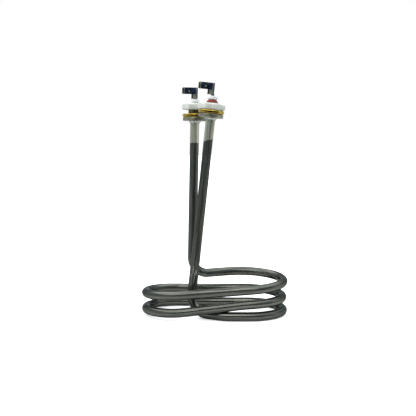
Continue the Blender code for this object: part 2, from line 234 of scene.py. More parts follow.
class Graph:
    """A node tree with short ways to add nodes and wires."""

    def __init__(self, tree: NodeTree) -> None:
        """Wraps a node tree."""
        self.tree = tree

    def wire(self, output: Socket, target: Socket) -> None:
        """Wires an output to an input."""
        self.tree.links.new(output, target)

    def add(
        self, kind: str, values: dict[object, object] | None = None, **settings: object
    ) -> bpy.types.Node:
        """Adds a node.

        Args:
            kind: The node's type.
            values: Values or wires for its inputs, by socket name or index.
            **settings: Values of the node's own settings.

        Returns:
            The node.
        """
        node = self.tree.nodes.new(kind)
        for name, value in settings.items():
            setattr(node, name, value)
        for name, value in (values or {}).items():
            if isinstance(value, Socket):
                self.wire(value, node.inputs[name])
            else:
                node.inputs[name].default_value = value
        return node

    def place(self, group: NodeTree, values: dict[object, object]) -> Socket:
        """Places a node group and returns its output."""
        return self.add("ShaderNodeGroup", values, node_tree=group).outputs[0]

    def maths(self, operation: str, *values: object) -> Socket:
        """Adds a Math node and returns its output."""
        inputs = dict(enumerate(values))
        return self.add("ShaderNodeMath", inputs, operation=operation).outputs[0]

    def vector(
        self, operation: str, values: dict[object, object], output: str = "Vector"
    ) -> Socket:
        """Adds a Vector Math node and returns one of its outputs."""
        return self.add("ShaderNodeVectorMath", values, operation=operation).outputs[output]

    def parts(self, vector: Socket) -> Sockets:
        """Splits a vector into X, Y and Z."""
        return self.add("ShaderNodeSeparateXYZ", {0: vector}).outputs

    def coordinates(self, output: str = "Object") -> Socket:
        """Adds texture coordinates and returns one kind of them."""
        return self.add("ShaderNodeTexCoord").outputs[output]

    def attribute(self, name: str, output: str = "Vector") -> Socket:
        """Reads what was stored on the piece under a name."""
        return self.add("ShaderNodeAttribute", attribute_name=name).outputs[output]

    def noise(
        self, vector: Socket, scale: object = 1.0, detail: float = 3.0, rough: float = 0.55
    ) -> Socket:
        """Adds a Noise Texture and returns its value."""
        values = {"Vector": vector, "Scale": scale, "Detail": detail, "Roughness": rough}
        return self.add("ShaderNodeTexNoise", values).outputs["Fac"]

    def stretched(self, vector: Socket, scale: Sequence[float]) -> Socket:
        """Scales a vector along its axes and returns it."""
        return self.add("ShaderNodeMapping", {"Vector": vector, "Scale": scale}).outputs[0]

    def ramp(
        self, value: Socket, low: float, high: float, start: float = 0.0, end: float = 1.0
    ) -> Socket:
        """Maps a range of a value smoothly to another and returns it."""
        names = ("Value", "From Min", "From Max", "To Min", "To Max")
        values = dict(zip(names, (value, low, high, start, end)))
        mapped = self.add("ShaderNodeMapRange", values, interpolation_type="SMOOTHSTEP")
        return mapped.outputs["Result"]

    def blend(self, factor: object, one: object, two: object) -> Socket:
        """Mixes two colours and returns the result."""
        values = {0: factor, 6: one, 7: two}
        return self.add("ShaderNodeMix", values, data_type="RGBA").outputs[2]

    def bump(self, height: Socket, distance: float) -> Socket:
        """Adds a Bump node and returns its normal."""
        values = {"Height": height, "Distance": distance, "Strength": 1.0}
        return self.add("ShaderNodeBump", values).outputs[0]


def tone(colour: Colour) -> tuple[float, float, float, float]:
    """A colour with full alpha."""
    return (*colour, 1.0)


def effect(
    name: str,
    inputs: dict[str, float | None],
    output: str,
    make: Callable[[Graph, Sockets], Socket],
) -> NodeTree:
    """Builds a shader node group that puts out one value.

    Args:
        name: The group's name.
        inputs: Its inputs and their default values. None stands for a vector.
        output: The name of its output.
        make: Adds the nodes between the inputs and the value.

    Returns:
        The group.
    """
    tree = bpy.data.node_groups.new(name, "ShaderNodeTree")
    for label, value in inputs.items():
        kind = "NodeSocketVector" if value is None else "NodeSocketFloat"
        socket = tree.interface.new_socket(label, in_out="INPUT", socket_type=kind)
        if value is not None:
            socket.default_value = value
    tree.interface.new_socket(output, in_out="OUTPUT", socket_type="NodeSocketFloat")
    graph = Graph(tree)
    graph.add("NodeGroupOutput", {output: make(graph, graph.add("NodeGroupInput").outputs)})
    return tree


def drawn_streaks(graph: Graph, given: Sockets) -> Socket:
    """Long fine streaks along Z of the given vector, as drawing or rubbing leaves them."""
    fine = graph.noise(graph.stretched(given["Vector"], (2600.0, 2600.0, 55.0)))
    broad = graph.noise(graph.stretched(given["Vector"], (700.0, 700.0, 14.0)))
    total = graph.maths("ADD", graph.maths("MULTIPLY", fine, given["Fineness"]), broad)
    return graph.maths("DIVIDE", total, graph.maths("ADD", given["Fineness"], 1.0))


def soft_stains(graph: Graph, given: Sockets) -> Socket:
    """Soft stains of the given size, and weaker ones a fifth as large."""
    scale = graph.maths("DIVIDE", 1.0, given["Size"])
    large = graph.noise(given["Vector"], scale, 5.0, 0.5)
    small = graph.noise(given["Vector"], graph.maths("MULTIPLY", scale, 5.3), 3.0, 0.5)
    return graph.maths("MULTIPLY_ADD", small, 0.35, graph.maths("MULTIPLY", large, 0.65))


def turning_marks(graph: Graph, given: Sockets) -> Socket:
    """Fine rings about a piece's own axis. X of the given vector is the radius, Z the height."""
    parts = graph.parts(given["Vector"])
    step = graph.maths("DIVIDE", parts["X"], given["Pitch"])
    lift = graph.maths("DIVIDE", parts["Z"], given["Pitch"])
    across = graph.add("ShaderNodeCombineXYZ", {"X": step, "Y": lift}).outputs[0]
    return graph.noise(across, detail=2.0)


class Effects:
    """The shared effects, each a node group that is built once."""

    def __init__(self) -> None:
        """Builds every group."""
        streaks = {"Vector": None, "Fineness": 1.0}
        self.streaks = effect("Drawn streaks", streaks, "Streaks", drawn_streaks)
        self.mottle = effect("Mottle", {"Vector": None, "Size": 0.006}, "Mottle", soft_stains)
        marks = {"Vector": None, "Pitch": 0.0002}
        self.marks = effect("Turning marks", marks, "Marks", turning_marks)


@dataclass(frozen=True)
class Finish:
    """A finish whose colour and roughness vary over the surface."""

    name: str  # the material's and the slot's
    dark: Colour
    light: Colour
    metallic: float = 1.0
    roughness: Pair = (0.25, 0.45)  # least and greatest
    specular: float = 0.5  # specular level
    stain: float = 4 * MM  # size of the soft stains
    relief: float = 0.01 * MM  # depth of the fine relief
    edge_tint: float = 1.0  # how bright it is at a glancing angle
    spread: Pair = (0.35, 0.65)  # the part of the stains over which dark turns to light
    grain: Pair = (4000.0, 3.0)  # fineness and detail of the relief

    def constants(self) -> dict[str, object]:
        """The shader's inputs that are the same all over."""
        return {
            "Metallic": self.metallic,
            "Specular IOR Level": self.specular,
            "Specular Tint": tone((self.edge_tint,) * 3),
        }

    def stained(self, graph: Graph, mottle: Socket) -> tuple[Socket, Socket]:
        """Colour and roughness that follow the stains."""
        colour = graph.blend(graph.ramp(mottle, *self.spread), tone(self.dark), tone(self.light))
        return colour, graph.ramp(mottle, 0.3, 0.7, *self.roughness)

    def surface(self, graph: Graph, effects: Effects) -> Surface:
        """Colour, roughness and relief over the surface."""
        where = graph.coordinates()
        mottle = graph.place(effects.mottle, {"Vector": where, "Size": self.stain})
        return *self.stained(graph, mottle), graph.noise(where, *self.grain)

    def build(self, effects: Effects) -> Material:
        """Makes the material."""
        paint = bpy.data.materials.new(self.name)
        paint.use_nodes = True
        graph = Graph(paint.node_tree)
        shader = paint.node_tree.nodes["Principled BSDF"]
        for name, value in self.constants().items():
            shader.inputs[name].default_value = value
        colour, rough, height = self.surface(graph, effects)
        graph.wire(colour, shader.inputs["Base Color"])
        graph.wire(rough, shader.inputs["Roughness"])
        graph.wire(graph.bump(height, self.relief), shader.inputs["Normal"])
        return paint


@dataclass(frozen=True)
class TurnedFinish(Finish):
    """A turned metal with fine rings about its own axis and, where asked, a painted dark
    reflection on the front of its rim.
    """

    spread: Pair = (0.35, 0.68)
    pitch: float = 0.25 * MM  # distance between the rings
    edge: Colour = (0.3, 0.2, 0.05)  # colour in the grooves
    dark_reflection: float = 0.0  # share of the painted dark reflection on the rim's front
    # colour of the painted dark reflection on the rim's front
    dark_reflection_colour: Colour = (0.07, 0.05, 0.016)
    band: Triple = (1.35 * MM, 1.1 * MM, 0.6 * MM)  # middle height, faded and full half width of the band of painted dark reflection

    def surface(self, graph: Graph, effects: Effects) -> Surface:
        """Colour, roughness and relief over the surface."""
        where = graph.attribute("turned")
        marks = graph.place(effects.marks, {"Vector": where, "Pitch": self.pitch})
        solid = {"Vector": graph.coordinates(), "Size": self.stain}
        mottle = graph.place(effects.mottle, solid)
        colour, rough = self.stained(graph, mottle)
        colour = graph.blend(graph.ramp(marks, 0.55, 0.8, 0.0, 0.35), colour, tone(self.edge))
        # Painted dark reflection: the rim's front, facing the camera, darkens in a band round its
        # middle height
        around = graph.parts(where)
        front = graph.maths("COSINE", graph.maths("ADD", around["Y"], math.pi / 2))
        ragged = graph.maths("MULTIPLY", graph.maths("SUBTRACT", mottle, 0.5), 0.5)
        dark_reflection_patch = graph.ramp(graph.maths("ADD", front, ragged), 0.72, 0.95, 0.0, self.dark_reflection)
        middle, faded, full = self.band
        off = graph.maths("ABSOLUTE", graph.maths("SUBTRACT", around["Z"], middle))
        share = graph.maths("MULTIPLY", dark_reflection_patch, graph.ramp(off, faded, full))
        return graph.blend(share, colour, tone(self.dark_reflection_colour)), rough, marks


@dataclass(frozen=True)
class SheathFinish(Finish):
    """The tube's own finish: dark oxidised steel, bright where the ends stayed clean."""

    bright_dark: Colour = (0.22, 0.21, 0.16)
    bright_light: Colour = (0.7, 0.67, 0.52)
    bright_roughness: Pair = (0.24, 0.36)
    bright_reach: float = 33.8 * MM  # length of the clean ends
    boundary: float = 0.35 * MM  # half width of their boundary
    raggedness: float = 2.6 * MM  # how far the boundary wanders
    rubbed: tuple[Colour, float] = ((0.23, 0.23, 0.19), 0.35)  # colour and share
    scuffed: Triple = (146 * MM, 169 * MM, 4 * MM)  # from and to on each leg, and fading
    scratch: Colour = (0.5, 0.5, 0.44)

    def oxide(
        self, graph: Graph, straight: Socket, reach: Socket, streaks: Socket, mottle: Socket
    ) -> Socket:
        """Colour of the oxidised tube: streaked, rubbed and scratched."""
        fresh = graph.blend(graph.ramp(streaks, 0.36, 0.64), tone(self.dark), tone(self.light))
        colour, share = self.rubbed
        rubbed = graph.ramp(graph.maths("MULTIPLY", streaks, mottle), 0.30, 0.42)
        wear_and_painted_reflection = graph.blend(graph.maths("MULTIPLY", rubbed, share), fresh, tone(colour))
        fine = graph.noise(graph.stretched(straight, (1500.0, 1500.0, 160.0)), detail=2.0)
        low, high, fade = self.scuffed
        inside = graph.maths(
            "MULTIPLY", graph.ramp(reach, low, low + fade), graph.ramp(reach, high, high - fade)
        )
        scuffs = graph.maths("MULTIPLY", graph.ramp(fine, 0.62, 0.68), inside)
        return graph.blend(scuffs, wear_and_painted_reflection, tone(self.scratch))

    def surface(self, graph: Graph, effects: Effects) -> Surface:
        """Colour, roughness and relief over the surface."""
        straight = graph.attribute("straight")
        reach = graph.attribute("from_end", "Fac")
        streaks = graph.place(effects.streaks, {"Vector": straight, "Fineness": 0.8})
        mottle = graph.place(effects.mottle, {"Vector": straight, "Size": self.stain})
        clean = graph.blend(
            graph.ramp(streaks, 0.38, 0.62), tone(self.bright_dark), tone(self.bright_light)
        )
        ragged = graph.noise(graph.stretched(straight, (420.0, 420.0, 60.0)))
        wander = graph.maths("MULTIPLY", graph.maths("SUBTRACT", ragged, 0.5), self.raggedness)
        edge = graph.maths("ADD", reach, wander)
        near, far = self.bright_reach - self.boundary, self.bright_reach + self.boundary
        oxidised = graph.ramp(edge, near, far)
        oxide = self.oxide(graph, straight, reach, streaks, mottle)
        dull = graph.ramp(mottle, 0.3, 0.7, *self.roughness)
        bright = graph.ramp(streaks, 0.3, 0.7, *self.bright_roughness)
        rough = graph.add("ShaderNodeMix", {0: oxidised, 2: bright, 3: dull}).outputs[0]
        return graph.blend(oxidised, clean, oxide), rough, streaks


@dataclass(frozen=True)
class CoinedFinish(Finish):
    """A plated sheet with a painted olive reflection along its edges and painted highlights along
    its creases.
    """

    # colour of the painted olive reflection on the edges, tip and dimple
    wear_and_painted_reflection: Colour = (0.13, 0.13, 0.07)
    # colour of the painted highlights along the creases
    painted_light: Colour = (0.78, 0.78, 0.7)

    def surface(self, graph: Graph, effects: Effects) -> Surface:
        """Colour, roughness and relief over the surface."""
        plated, rough, grain = super().surface(graph, effects)
        # Painted light read from each face: olive reflection up to 0.5, highlight from 0.5 to 1
        painted_light = graph.attribute("painted_light", "Fac")
        wear_and_painted_reflection = graph.blend(graph.ramp(painted_light, 0.0, 0.5), plated, tone(self.wear_and_painted_reflection))
        return graph.blend(graph.ramp(painted_light, 0.5, 1.0), wear_and_painted_reflection, tone(self.painted_light)), rough, grain


@dataclass(frozen=True)
class NylonFinish(Finish):
    """Milky plastic that lets a little light through."""

    grain: Pair = (1500.0, 2.0)
    scatter: Triple = (0.8, 0.8, 0.74)  # share of the depth for red, green and blue
    depth: float = 2.5 * MM

    def constants(self) -> dict[str, object]:
        """The shader's inputs that are the same all over."""
        inside = {
            "Subsurface Weight": 0.5,
            "Subsurface Radius": self.scatter,
            "Subsurface Scale": self.depth,
        }
        return super().constants() | inside


class Slot(Enum):
    """The record's material slots, each with its finish."""

    SHEATH = SheathFinish(
        "sheath_steel", (0.042, 0.047, 0.042), (0.15, 0.148, 0.124), 0.9, (0.16, 0.26),
        stain=9 * MM, relief=0.002 * MM, edge_tint=0.35
    )
    BUSH = TurnedFinish(
        "bush_steel", (0.13, 0.125, 0.085), (0.38, 0.36, 0.26), 1.0, (0.28, 0.42),
        edge=(0.06, 0.06, 0.05)
    )
    BRAZE = Finish(
        "braze_metal", (0.3, 0.31, 0.28), (0.56, 0.57, 0.52), 0.9, (0.3, 0.5), stain=2 * MM
    )
    # Brass washer, with a painted dark reflection on the front of its rim
    BRASS = TurnedFinish(
        "washer_brass", (0.34, 0.22, 0.028), (0.66, 0.45, 0.075), 1.0, (0.16, 0.3),
        edge=(0.14, 0.09, 0.02), dark_reflection=1.0
    )
    NYLON = NylonFinish("nut_nylon", (0.58, 0.59, 0.53), (0.72, 0.72, 0.64), 0.0, (0.35, 0.5))
    SILICONE = Finish(
        "seal_silicone", (0.2, 0.019, 0.01), (0.29, 0.033, 0.019), 0.0, (0.4, 0.6),
        specular=0.25, stain=2 * MM
    )
    CERAMIC = Finish(
        "bush_ceramic", (0.8, 0.83, 0.79), (0.9, 0.92, 0.88), 0.0, (0.25, 0.45), stain=3 * MM
    )
    PIN = Finish("pin_steel", (0.2, 0.2, 0.18), (0.42, 0.42, 0.38), stain=2 * MM)
    # Navy plating, with painted olive reflections on its edges and painted highlights on its
    # creases
    TERMINAL = CoinedFinish(
        "terminal_steel", (0.018, 0.026, 0.065), (0.075, 0.095, 0.15), 1.0, (0.14, 0.28),
        stain=3 * MM
    )


def unit(vector: np.ndarray) -> np.ndarray:
    """A vector's direction."""
    return vector / np.linalg.norm(vector)


@dataclass
class Leg:
    """What differs between the two legs."""

    name: str  # rear or front
    lean: float  # towards +X
    foot: Triple  # where its axis meets its run
    flange_height: float  # of the underside
    nut_stand_off: float  # above the nut's seat
    head_diameter: float  # of the ceramic bush
    head_height: float
    terminal_shift: float  # from the axis towards +X

    def along(self) -> np.ndarray:
        """The leg's direction."""
        return np.array([math.sin(self.lean), 0.0, math.cos(self.lean)])

    def flange(self) -> np.ndarray:
        """Centre of the flange's underside."""
        foot = np.array(self.foot)
        return foot + self.along() * (self.flange_height - foot[2]) / self.along()[2]

    def place(self, height: float) -> Matrix:
        """Matrix to the model's frame from the leg's own, a height above the flange's foot."""
        base = Matrix.Translation(Vector(self.flange())) @ Matrix.Rotation(self.lean, 4, "Y")
        return base @ Matrix.Translation((0.0, 0.0, height))


@dataclass
class HeatingTube:
    """The sheathed tube, swept along its whole route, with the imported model's own sizes.

    Places, lengths and radii along the route are those of the tube's centre line.
    """

    diameter: float = 8.5 * MM
    foot_bend: float = 16.6 * MM  # radius of the bend under each leg
    half_length: float = 65.0 * MM  # of the coil
    turn_radius: float = 32.9 * MM  # of the coil's ends
    setbacks: Triple = (0.0, 0.95 * MM, 0.35 * MM)  # right-hand ends
    foot_x: Pair = (-22.0 * MM, -23.2 * MM)  # rear and front
    leg_spacing: float = 28.0 * MM  # across the coil
    rear_sweep: Pair = (19.0 * MM, 40.0 * MM)  # bend into line with the coil: place and radius
    front_sweep: Pair = (8.7 * MM, 29.4 * MM)

    # Lifts above the lowest turn in mm, in the order of the bending
    lifts: tuple[float, ...] = (31.1, 31.0, 31.0, 24.3, 19.2, 13.9, 13.9, 11.2, 3.2, 0.0, 0.0)

    slope_blend: float = 11.0 * MM  # half length over which a slope changes
    foot_run: float = 18.0 * MM  # gives the direction of a foot's bend
    end_height: float = 13.1 * MM  # above the flanges' undersides
    mouth: Pair = (3.2 * MM, 3.9 * MM)  # radius and depth
    pin_hole: Pair = (2.0 * MM, 24.0 * MM)
    front_slant: float = 0.4  # of the front leg's clean end
    arc_step: float = math.radians(3.0)
    run_step: float = 3.0 * MM
    sides: int = 32

    def rounded(
        self, before: np.ndarray, point: np.ndarray, after: np.ndarray, radius: float
    ) -> np.ndarray:
        """Rounds the corner at one point of a route, and returns the points of the bend."""
        back, ahead = unit(before - point), unit(after - point)
        angle = math.pi - math.acos(float(np.clip(back @ ahead, -1.0, 1.0)))
        start = point + back * radius * math.tan(angle / 2)
        centre = point + unit(back + ahead) * radius / math.cos(angle / 2)
        steps = np.linspace(0.0, angle, max(2, math.ceil(angle / self.arc_step)) + 1)[:, None]
        return centre + np.cos(steps) * (start - centre) - np.sin(steps) * radius * back

    def half_turn(self, centre_x: float, side: int) -> np.ndarray:
        """One end of the oval: side 1 is the right end, and -1 the left."""
        angles = np.linspace(0.0, math.pi, round(math.pi / self.arc_step) + 1)
        x = centre_x + side * self.turn_radius * np.sin(angles)
        return np.stack([x, side * self.turn_radius * np.cos(angles)], axis=1)

    def joined(self, stretches: Sequence[np.ndarray]) -> tuple[np.ndarray, list[tuple]]:
        """Joins the bends and the end points of a route with points along its straights.

        Returns:
            The route, and where each bend or end point starts and ends in it.
        """
        route: list[np.ndarray] = []
        spans: list[tuple] = []
        for stretch in stretches:
            if route:
                last = route[-1]
                gap = stretch[0] - last
                count = max(1, math.ceil(np.linalg.norm(gap) / self.run_step))
                route.extend(last + gap * step / count for step in range(1, count))
            spans.append((len(route), len(route) + len(stretch) - 1))
            route.extend(stretch)
        return np.array(route), spans

    def coil(self) -> np.ndarray:
        """Centre line of the coil, from the rear leg's foot down to the front leg's."""
        bend_x = self.half_length - self.turn_radius
        rights = [self.half_turn(bend_x - setback, 1) for setback in self.setbacks]
        left = self.half_turn(-bend_x, -1)
        rear, front = (
            np.array([x, side * self.leg_spacing / 2]) for x, side in zip(self.foot_x, (1, -1))
        )
        rear_vertex = np.array([self.rear_sweep[0], self.turn_radius])
        front_vertex = np.array([self.front_sweep[0], -self.turn_radius])
        rear_sweep = self.rounded(rear, rear_vertex, rights[0][0], self.rear_sweep[1])
        front_sweep = self.rounded(rights[2][-1], front_vertex, front, self.front_sweep[1])
        turns = [rights[0], left, rights[1], left, rights[2]]
        plan, spans = self.joined([rear[None], rear_sweep, *turns, front_sweep, front[None]])
        places = [spans[0][0], spans[1][0], *sum(spans[2:6], ()), spans[8][1]]
        lengths = np.append(0.0, np.cumsum(np.linalg.norm(np.diff(plan, axis=0), axis=1)))
        lifts = np.array(self.lifts) * MM
        offsets = np.linspace(-self.slope_blend, self.slope_blend, 9)
        heights = [np.interp(lengths + offset, lengths[places], lifts) for offset in offsets]
        return np.column_stack([plan, np.mean(heights, axis=0) + self.diameter / 2])

    def route(self, legs: Sequence[Leg]) -> np.ndarray:
        """Centre line of the whole tube, from the rear end to the front end."""
        coil = self.coil()
        ends = [leg.flange() + leg.along() * self.end_height for leg in legs]
        near = round(self.foot_run / self.run_step)
        rear_bend = self.rounded(ends[0], coil[0], coil[near], self.foot_bend)
        front_bend = self.rounded(coil[-1 - near], coil[-1], ends[1], self.foot_bend)
        reach = self.run_step + max(
            np.linalg.norm(rear_bend[-1] - coil[0]), np.linalg.norm(front_bend[0] - coil[-1])
        )
        first, last = (
            int(np.argmin(np.linalg.norm(line - line[0], axis=1) < reach))
            for line in (coil, coil[::-1])
        )
        run = coil[first : len(coil) - last]
        return self.joined([ends[0][None], rear_bend, run, front_bend, ends[1][None]])[0]

    def build(self, legs: Sequence[Leg]) -> Object:
        """Sweeps the tube from the rear leg to the front leg, and opens its ends."""
        route = self.route(legs)
        deselect_all()
        bpy.ops.curve.primitive_nurbs_path_add()
        path = bpy.context.object
        path.data.splines.clear()
        spline = path.data.splines.new("POLY")
        spline.points.add(len(route) - 1)
        for point, place in zip(spline.points, route):
            point.co = (*place, 1.0)
        path.data.dimensions = "3D"
        path.data.bevel_depth = self.diameter / 2
        path.data.bevel_resolution = self.sides // 4 - 2
        path.data.use_fill_caps = True
        activate(path)
        bpy.ops.object.convert(target="MESH")
        tube = bpy.context.object
        tube.name = "sheathed_tube"
        edit_all(tube)
        bpy.ops.mesh.remove_doubles(threshold=WELD)
        close_mesh()
        self.open_mouths(tube, route)
        self.measure(tube, route)
        settle(tube, Matrix.Identity(4))
        return tube

    def open_mouths(self, tube: Object, route: np.ndarray) -> None:
        """Sinks a stepped bore into each end of the closed tube."""
        near = 0.2 * MM
        for end, inner in ((route[0], route[1]), (route[-1], route[-2])):
            inward = unit(inner - end)
            axis = Vector(inward)
            radius = self.diameter / 2
            depth = 0.0
            for bore, sink in (self.mouth, self.pin_hole):
                centre = Vector(end + inward * depth)
                pick_faces(
                    tube,
                    lambda face: (face.center - centre).length < near
                    and abs(face.normal.dot(axis)) > 0.99,
                )
                bpy.ops.mesh.inset(thickness=radius - bore, depth=0.0)
                extrude(*(inward * sink))
                radius = bore
                depth += sink
        deselect_all()

    def measure(self, tube: Object, route: np.ndarray) -> None:
        """Stores each point's place on the tube, as if straight, and its distance from an end."""
        steps = np.diff(route, axis=0)
        lengths = np.append(0.0, np.cumsum(np.linalg.norm(steps, axis=1)))
        tangents = np.vstack([steps[:1], steps[1:] + steps[:-1], steps[-1:]])
        tangents /= np.linalg.norm(tangents, axis=1)[:, None]
        sides = [np.array([0.0, -1.0, 0.0])]
        for tangent in tangents[1:]:
            side = sides[-1]
            sides.append(unit(side - tangent * (side @ tangent)))
        count = len(tube.data.vertices)
        straight = np.empty((count, 3))
        from_end = np.empty(count)
        for index, vert in enumerate(tube.data.vertices):
            point = np.array(vert.co)
            near = int(np.argmin(((route - point) ** 2).sum(axis=1)))
            off, side, tangent = point - route[near], sides[near], tangents[near]
            place = lengths[near] + off @ tangent
            straight[index] = (off @ side, off @ np.cross(tangent, side), place)
            from_end[index] = min(place, lengths[-1] - place + self.front_slant * off[0])
        store(tube, "straight", straight)
        store(tube, "from_end", from_end)


@dataclass
class Fitting:
    """The fittings of one leg, modelled on its axis. Heights start at the flange's underside."""

    leg: Leg

    # Threaded bush and its braze
    flange_diameter: float = 22.8 * MM
    flange_thickness: float = 3.4 * MM
    flange_rounding: float = 0.7 * MM
    thread_diameter: float = 13.16 * MM
    thread_length: float = 10.2 * MM
    thread_pitch: float = 1.337 * MM
    thread_depth: float = 0.7 * MM
    thread_chamfer: float = 0.8 * MM
    thread_flank: Pair = (1.25, 0.12)  # steepness of the flanks and flatness of the crest
    thread_start: float = 1.2  # turns over which the thread deepens
    thread_rows: int = 96
    tube_diameter: float = 8.5 * MM
    braze_height: float = 2.2 * MM
    braze_walls: Pair = (0.25 * MM, 1.5 * MM)
    braze_swell: float = 0.06 * MM

    # Washer and nut
    washer_diameter: float = 23.7 * MM
    washer_thickness: float = 2.9 * MM
    washer_rounding: float = 1.0 * MM
    washer_bore_rounding: float = 0.2 * MM
    nut_flats: float = 21.5 * MM
    nut_height: float = 6.0 * MM
    nut_edge: Pair = (0.8 * MM, 1.1 * MM)
    nut_rounding: float = 0.28 * MM
    nut_bore_chamfer: float = 0.5 * MM

    # Seal and ceramic bush
    seal_height: float = 2.3 * MM
    seal_gap: float = 0.8 * MM
    seal_base: float = 10.7 * MM
    seal_top: float = 7.6 * MM
    neck_diameter: float = 5.8 * MM
    neck_base: float = 9.9 * MM
    collar: Pair = (0.45 * MM, 0.5 * MM)  # setback from the head's rim, and height
    collar_rounding: float = 0.15 * MM
    head_rounding: Pair = (0.4 * MM, 0.45 * MM)  # lower and upper edge
    head_bore_rounding: float = 0.25 * MM

    # Pin and terminal
    pin_diameter: float = 3.4 * MM
    pin_flat: Pair = (4.4 * MM, 2.0 * MM)
    pin_depth: float = 28.4 * MM
    pin_shortfall: float = 1.4 * MM
    pin_rounding: float = 0.2 * MM
    pin_steps: int = 8
    sheet: float = 0.8 * MM
    tab_height: float = 6.3 * MM
    tab_length: float = 14.9 * MM
    foot_width: float = 6.1 * MM
    foot_height: float = 4.4 * MM
    foot_lift: float = 3.7 * MM
    edge_bevel: float = 1.2 * MM
    sheet_rounding: float = 0.13 * MM
    heel_thinning: float = 0.62  # share of the sheet left at the heel's edge
    tip_taper: Pair = (0.4, 0.84)  # shares of the sheet and of the height left at the tip
    # From the tip and from the heel: where the painted olive reflection ends and where the painted
    # highlight lines lie
    tip_crease: Pair = (1.85 * MM, 2.35 * MM)
    heel_crease: Pair = (1.7 * MM, 1.15 * MM)
    # width of the painted olive reflection at the foot's left edge
    foot_reflection_width: float = 1.5 * MM
    dimple_diameter: float = 1.9 * MM
    dimple_depth: float = 0.4 * MM
    dimple_from_tip: float = 6.8 * MM

    def bush_top(self) -> float:
        """Height of the bush's top."""
        return self.flange_thickness + self.thread_length

    def seal_foot(self) -> float:
        """Height of the seal's underside."""
        return self.bush_top() + CLEARANCE

    def head_foot(self) -> float:
        """Height of the ceramic head's underside."""
        return self.seal_foot() + self.seal_height + self.seal_gap

    def terminal_foot(self) -> float:
        """Height of the terminal's lower edge."""
        return self.head_foot() + self.foot_lift

    def mark_turned(self, obj: Object) -> Object:
        """Stores each point's radius, angle and height on the leg's axis, for turning marks."""
        x, y, z = np.array([vert.co for vert in obj.data.vertices]).T
        store(obj, "turned", np.stack([np.hypot(x, y), np.arctan2(y, x), z], axis=1))
        return obj

    def bush(self) -> Object:
        """Flanged bush with its helical thread."""
        bore = self.tube_diameter / 2 + CLEARANCE
        rim = self.flange_diameter / 2
        crest = self.thread_diameter / 2
        rows = self.thread_rows
        steepness, flatness = self.thread_flank
        section = [(bore, 0.0)]
        section += corner(rim, 0.0, self.flange_rounding, 1, -1)
        section += corner(rim, self.flange_thickness, self.flange_rounding, 1, 1)
        section += [
            (crest, self.flange_thickness + self.thread_length * row / rows)
            for row in range(rows + 1)
        ]
        obj = turn(section + [(bore, self.bush_top())])
        for vert in obj.data.vertices:
            height = vert.co.z - self.flange_thickness
            if abs(math.hypot(*vert.co.xy) - crest) > 0.01 * MM or height < 0.0:
                continue
            turns = height / self.thread_pitch - math.atan2(vert.co.y, vert.co.x) / (2 * math.pi)
            ridge = abs((turns % 1.0) - 0.5) * 2.0
            cut = min(1.0, max(0.0, steepness * (1.0 - ridge) - flatness))
            depth = self.thread_depth * cut
            start = min(1.0, height / (self.thread_start * self.thread_pitch))
            lead = max(0.0, self.thread_chamfer - (self.thread_length - height))
            move_to_radius(vert, crest - max(depth * start, lead))
        return self.mark_turned(obj)

    def braze(self) -> Object:
        """Concave ring of braze under the flange, a little uneven."""
        bore = self.tube_diameter / 2 + CLEARANCE
        toe, growth = self.braze_walls[0], self.braze_walls[1] - self.braze_walls[0]
        section = [(bore, -self.braze_height), (bore + toe, -self.braze_height)]
        for part in np.linspace(0.1, 1.0, 9):
            wall = toe + growth * part**2
            section.append((bore + wall, -self.braze_height * (1 - part)))
        obj = turn(section + [(bore, 0.0)])
        for vert in obj.data.vertices:
            radius = math.hypot(*vert.co.xy)
            if radius > bore + 0.1 * MM:
                angle = math.atan2(vert.co.y, vert.co.x)
                wave = math.sin(3 * angle + 0.7) + 0.6 * math.sin(7 * angle + 2.1)
                move_to_radius(vert, radius + self.braze_swell * wave)
        return obj

    def washer(self) -> Object:
        """Thick washer with a well rounded rim."""
        bore, rim = self.thread_diameter / 2 + CLEARANCE, self.washer_diameter / 2
        inner, outer = self.washer_bore_rounding, self.washer_rounding
        section = corner(bore, 0.0, inner, -1, -1, 2) + corner(rim, 0.0, outer, 1, -1, 8)
        section += corner(rim, self.washer_thickness, outer, 1, 1, 8)
        section += corner(bore, self.washer_thickness, inner, -1, 1, 2)
        return self.mark_turned(turn(section))

    def nut(self) -> Object:
        """Moulded hexagon nut with bevelled ends, one flat to the front."""
        inset, edge = self.nut_edge
        narrow = 1 - 2 * inset / self.nut_flats
        radius = self.nut_flats / math.sqrt(3) * narrow
        deselect_all()
        bpy.ops.mesh.primitive_circle_add(
            vertices=6, radius=radius, fill_type="NGON", rotation=(0, 0, math.pi / 6)
        )
        obj = bpy.context.object
        edit_all(obj)
        straight = self.nut_height - 2 * edge
        for rise, scale in ((edge, 1 / narrow), (straight, 1.0), (edge, narrow)):
            extrude(0, 0, rise)
            scale_about((0, 0, 0), (scale, scale, 1.0))
        close_mesh()
        bpy.ops.object.transform_apply()
        bevel(obj, self.nut_rounding, 25)
        bore = self.thread_diameter / 2 + CLEARANCE
        chamfer, past = self.nut_bore_chamfer, CLEARANCE
        wide = bore + chamfer + past
        section = [(0.0, -past), (wide, -past), (bore, chamfer), (bore, self.nut_height - chamfer)]
        section += [(wide, self.nut_height + past), (0.0, self.nut_height + past)]
        cut_away(obj, turn(section))
        return obj

    def seal(self) -> Object:
        """Conical silicone seal."""
        bore = self.neck_diameter / 2 + CLEARANCE
        base, top, high = self.seal_base / 2, self.seal_top / 2, self.seal_height
        section = [(bore, 0.0), (base - 0.15 * MM, 0.0), (base, 0.2 * MM)]
        section += [(base - 0.1 * MM, 0.45 * MM), (top + 0.12 * MM, high - 0.25 * MM)]
        return turn(section + [(top - 0.1 * MM, high), (bore, high)])

